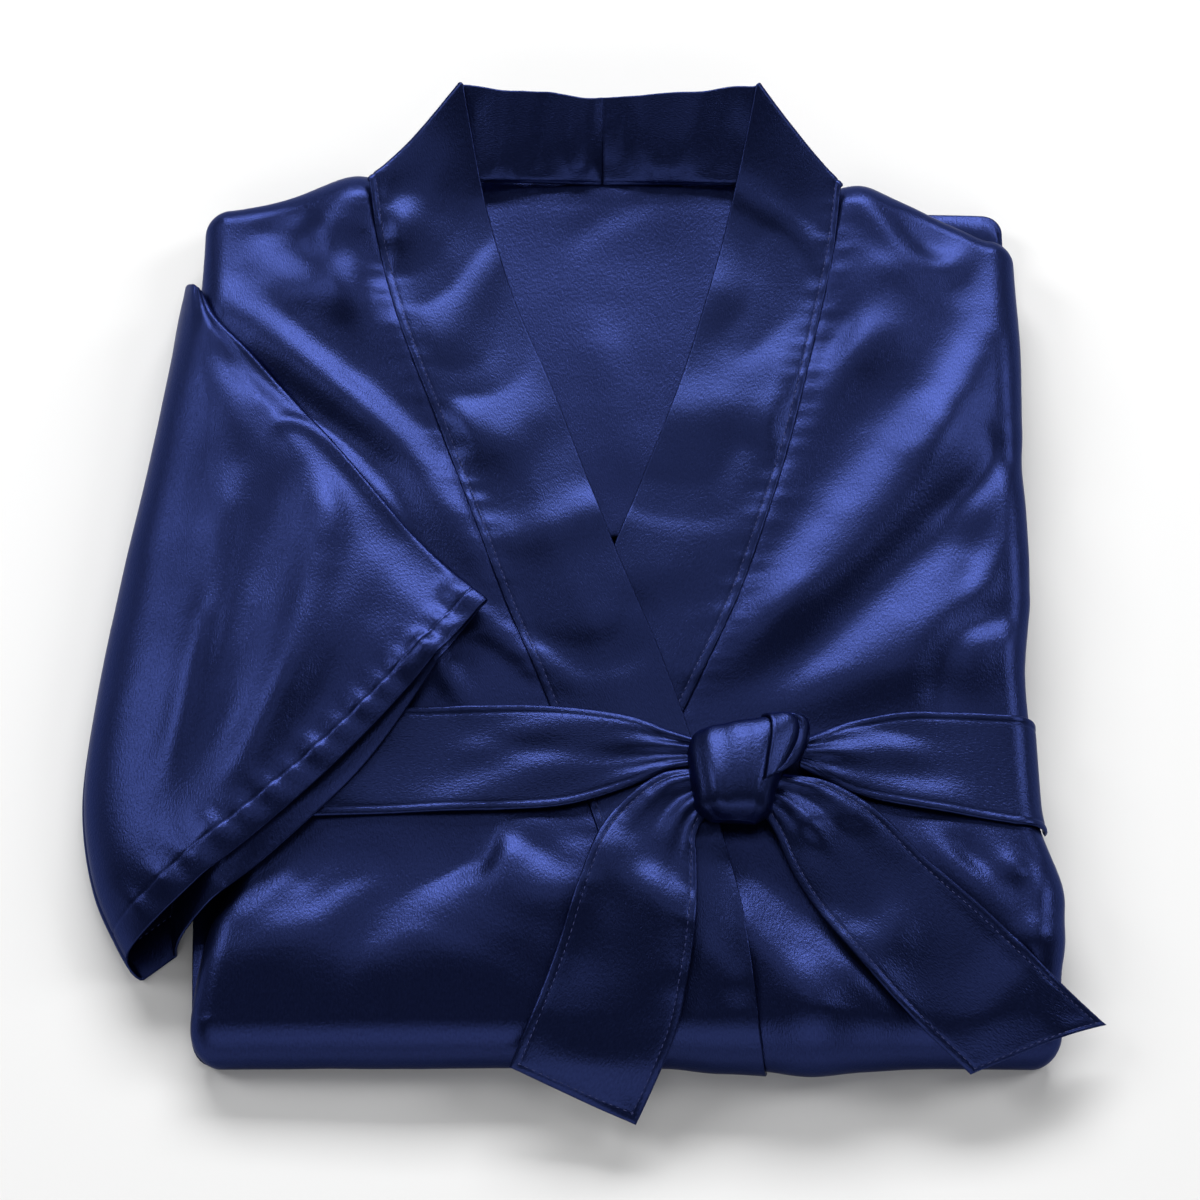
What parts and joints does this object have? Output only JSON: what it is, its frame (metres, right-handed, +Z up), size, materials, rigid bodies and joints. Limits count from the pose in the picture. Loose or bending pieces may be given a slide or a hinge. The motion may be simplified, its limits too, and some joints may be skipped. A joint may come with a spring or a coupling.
{
  "type": "folded kimono robe",
  "caption": "Satin kimono robe folded flat, fronts crossed under a knotted sash belt, one wide sleeve laid over the front.",
  "frame": {"origin": "middle of the bounding box's underside, on the flat face that the folded robe rests on", "axes": "+Z up out of the surface it lies on, +Y towards the collar, +X towards the wearer's left side"},
  "size_m": [0.4406, 0.4798, 0.0614],
  "materials": {
    "body_satin": "satin",
    "band_satin": "satin"
  },
  "bodies": {
    "root": {"folded_layers": "body_satin", "back_panel": "body_satin", "front_right": "body_satin", "front_left": "body_satin", "sleeve_right": "body_satin", "neckband_right": "band_satin", "neckband_left": "band_satin", "belt_wrap_right": "band_satin", "belt_wrap_left": "band_satin", "belt_tail_right": "band_satin", "belt_tail_left": "band_satin", "belt_knot": "band_satin", "belt_knot_fold": "band_satin"}
  },
  "joints": []
}
